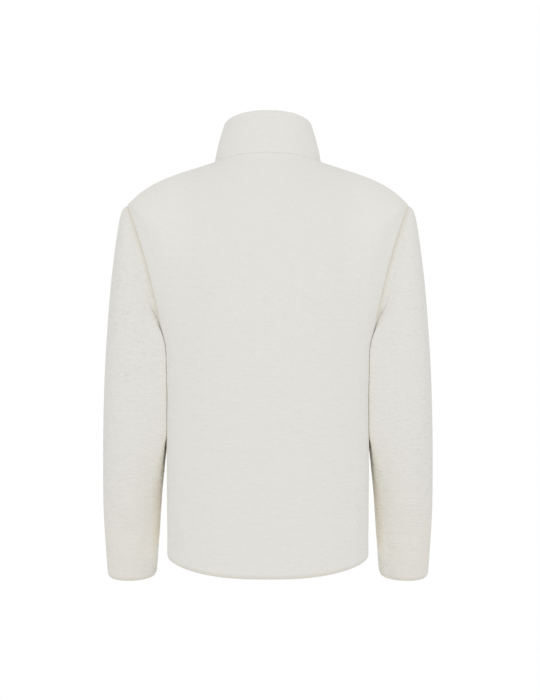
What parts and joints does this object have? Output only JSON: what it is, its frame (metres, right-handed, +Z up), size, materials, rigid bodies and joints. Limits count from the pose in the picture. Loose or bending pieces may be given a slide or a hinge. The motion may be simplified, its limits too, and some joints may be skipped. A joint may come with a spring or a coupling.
{
  "type": "sherpa jacket",
  "caption": "Sherpa fleece jacket with set-in sleeves, stand collar and full-length front zip, hollow as when worn.",
  "frame": {"origin": "centre of the base of the neck, level with the two neck points where the shoulder seams meet the collar", "axes": "+Z up, -Y towards the jacket's front, +X towards the wearer's left"},
  "size_m": [0.5762, 0.2773, 0.8097],
  "materials": {
    "sherpa_fleece": "short crimped pile, matte with a soft sheen",
    "zip_tape": "woven polyester tape",
    "zip_teeth": "moulded, satin",
    "zip_metal": "enamel, satin"
  },
  "bodies": {
    "garment": {"back": "sherpa_fleece", "front_left": "sherpa_fleece", "front_right": "sherpa_fleece", "sleeve_left": "sherpa_fleece", "sleeve_right": "sherpa_fleece", "collar": "sherpa_fleece", "zip_tape_left": "zip_tape", "zip_tape_right": "zip_tape", "zip_teeth": "zip_teeth", "zip_box": "zip_teeth", "zip_slider": "zip_metal"},
    "pull": {"zip_pull": "zip_metal"}
  },
  "joints": [
    {"name": "pull_hinge", "type": "hinge", "parent": "garment", "child": "pull", "pos_m": [0, -0.07166, 0.0277], "axis": [-1, 0, 0], "range_deg": [0, 165]}
  ]
}
